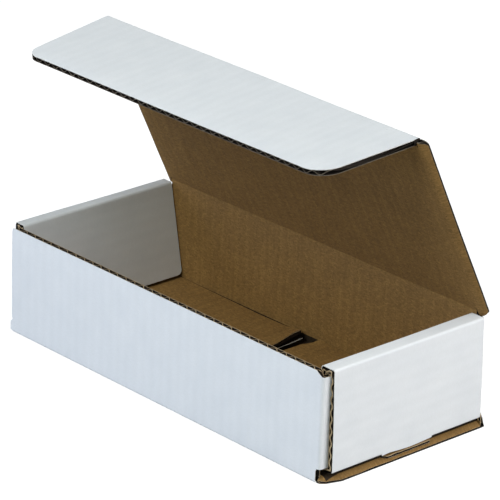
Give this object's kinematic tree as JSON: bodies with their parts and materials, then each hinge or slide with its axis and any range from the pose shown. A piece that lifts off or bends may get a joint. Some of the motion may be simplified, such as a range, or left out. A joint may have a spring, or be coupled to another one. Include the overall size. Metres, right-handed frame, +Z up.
{
  "type": "corrugated mailer box",
  "caption": "Shallow corrugated mailer box, white outside and kraft inside, with rolled double ends, a hinged lid and a tuck flap.",
  "frame": {"origin": "centre of the tray's underside, on the surface that the box stands on", "axes": "+X along the box's length, to the right when facing the front; -Y out of the front wall; +Z up"},
  "size_m": [0.2356, 0.1088, 0.1583],
  "materials": {
    "board": "matt white liner outside, brown kraft inside"
  },
  "bodies": {
    "tray": {"tray": "board"},
    "lid": {"lid": "board"},
    "tuck_flap": {"tuck_flap": "board"}
  },
  "joints": [
    {"name": "lid_hinge", "type": "hinge", "parent": "tray", "child": "lid", "pos_m": [0, 0.0524, 0.0597], "axis": [-1, 0, 0], "range_deg": [-63.5, 116.5]},
    {"name": "tuck_fold", "type": "hinge", "parent": "lid", "child": "tuck_flap", "pos_m": [0, 0.00403, 0.15671], "axis": [1, 0, 0], "range_deg": [-69.5, 20.5]}
  ]
}
